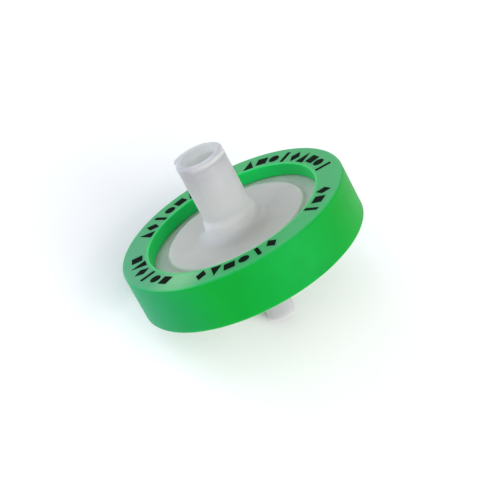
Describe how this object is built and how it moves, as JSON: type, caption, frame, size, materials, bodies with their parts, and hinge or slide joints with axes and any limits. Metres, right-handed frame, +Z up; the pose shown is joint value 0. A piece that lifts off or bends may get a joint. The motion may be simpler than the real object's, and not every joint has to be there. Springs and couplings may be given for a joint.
{
  "type": "syringe filter",
  "caption": "Disposable syringe filter: natural plastic housings with a female Luer lock inlet and male Luer slip outlet, clamped by a green ring with black marks.",
  "frame": {"origin": "on the table under the middle of the ring, where the filter lies at rest on the ring's lower edge and the tip of its nozzle", "axes": "+Z up from the table; the inlet leans towards -X, 32.6 degrees from +Z in the XZ plane; +Y across the disc"},
  "size_m": [0.0314, 0.033, 0.0254],
  "materials": {
    "green_polypropylene": "satin",
    "natural_polypropylene": "satin",
    "glass_fibre": "matte",
    "membrane": "matte",
    "black_ink": "matte"
  },
  "bodies": {
    "root": {"overmould_ring": "green_polypropylene", "inlet_housing": "natural_polypropylene", "outlet_housing": "natural_polypropylene", "prefilter_disc": "glass_fibre", "membrane_disc": "membrane"}
  },
  "joints": []
}
